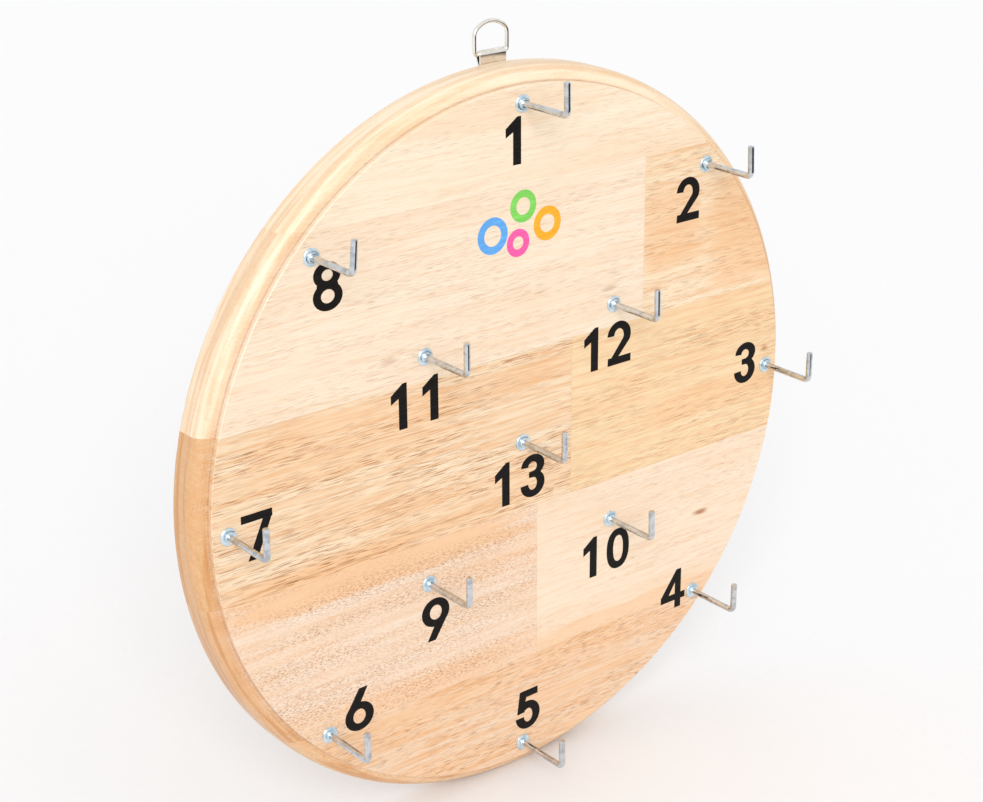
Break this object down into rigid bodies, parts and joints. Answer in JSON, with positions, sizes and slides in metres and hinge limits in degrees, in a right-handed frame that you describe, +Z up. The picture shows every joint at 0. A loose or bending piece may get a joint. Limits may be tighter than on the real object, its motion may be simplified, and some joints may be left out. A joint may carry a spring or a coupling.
{
  "type": "hook and ring game board",
  "caption": "Round wall-hung wooden target board with right-angle steel hooks in two concentric rings and a centre hook, folded strap and swinging D-ring hanger at the top",
  "frame": {"origin": "centre of the board's flat back face, on the axis of the centre hook", "axes": "+X to the right of someone facing the hooks, +Y out of the back towards the wall, +Z up"},
  "size_m": [0.35, 0.0553, 0.3688],
  "materials": {
    "rubberwood_top": "clear satin lacquer over sanded rubberwood",
    "rubberwood_upper_left": "clear satin lacquer over sanded rubberwood",
    "rubberwood_upper_right": "clear satin lacquer over sanded rubberwood",
    "rubberwood_middle_left": "clear satin lacquer over sanded rubberwood",
    "rubberwood_middle_right": "clear satin lacquer over sanded rubberwood",
    "rubberwood_lower_left": "clear satin lacquer over sanded rubberwood",
    "rubberwood_lower_right": "clear satin lacquer over sanded rubberwood",
    "rubberwood_bottom": "clear satin lacquer over sanded rubberwood",
    "hook_steel": "bright zinc plate over drawn wire",
    "collar_steel": "blue-passivated zinc plate over pressed steel",
    "strap_steel": "nickel plate over folded sheet",
    "screw_steel": "bright zinc plate",
    "ring_steel": "nickel plate over drawn wire"
  },
  "bodies": {
    "board": {"stave_top": "rubberwood_top", "stave_upper_left": "rubberwood_upper_left", "stave_upper_right": "rubberwood_upper_right", "stave_middle_left": "rubberwood_middle_left", "stave_middle_right": "rubberwood_middle_right", "stave_lower_left": "rubberwood_lower_left", "stave_lower_right": "rubberwood_lower_right", "stave_bottom": "rubberwood_bottom", "hook_01": "hook_steel", "hook_collar_01": "collar_steel", "hook_02": "hook_steel", "hook_collar_02": "collar_steel", "hook_03": "hook_steel", "hook_collar_03": "collar_steel", "hook_04": "hook_steel", "hook_collar_04": "collar_steel", "hook_05": "hook_steel", "hook_collar_05": "collar_steel", "hook_06": "hook_steel", "hook_collar_06": "collar_steel", "hook_07": "hook_steel", "hook_collar_07": "collar_steel", "hook_08": "hook_steel", "hook_collar_08": "collar_steel", "hook_09": "hook_steel", "hook_collar_09": "collar_steel", "hook_10": "hook_steel", "hook_collar_10": "collar_steel", "hook_11": "hook_steel", "hook_collar_11": "collar_steel", "hook_12": "hook_steel", "hook_collar_12": "collar_steel", "hook_13": "hook_steel", "hook_collar_13": "collar_steel", "hanger_strap": "strap_steel", "hanger_screw_upper": "screw_steel", "hanger_screw_lower": "screw_steel"},
    "d_ring": {"hanger_d_ring": "ring_steel"}
  },
  "joints": [
    {"name": "d_ring_swing", "type": "hinge", "parent": "board", "child": "d_ring", "pos_m": [0, 0.00188, 0.1786], "axis": [1, 0, 0], "range_deg": [-173, 99]}
  ]
}
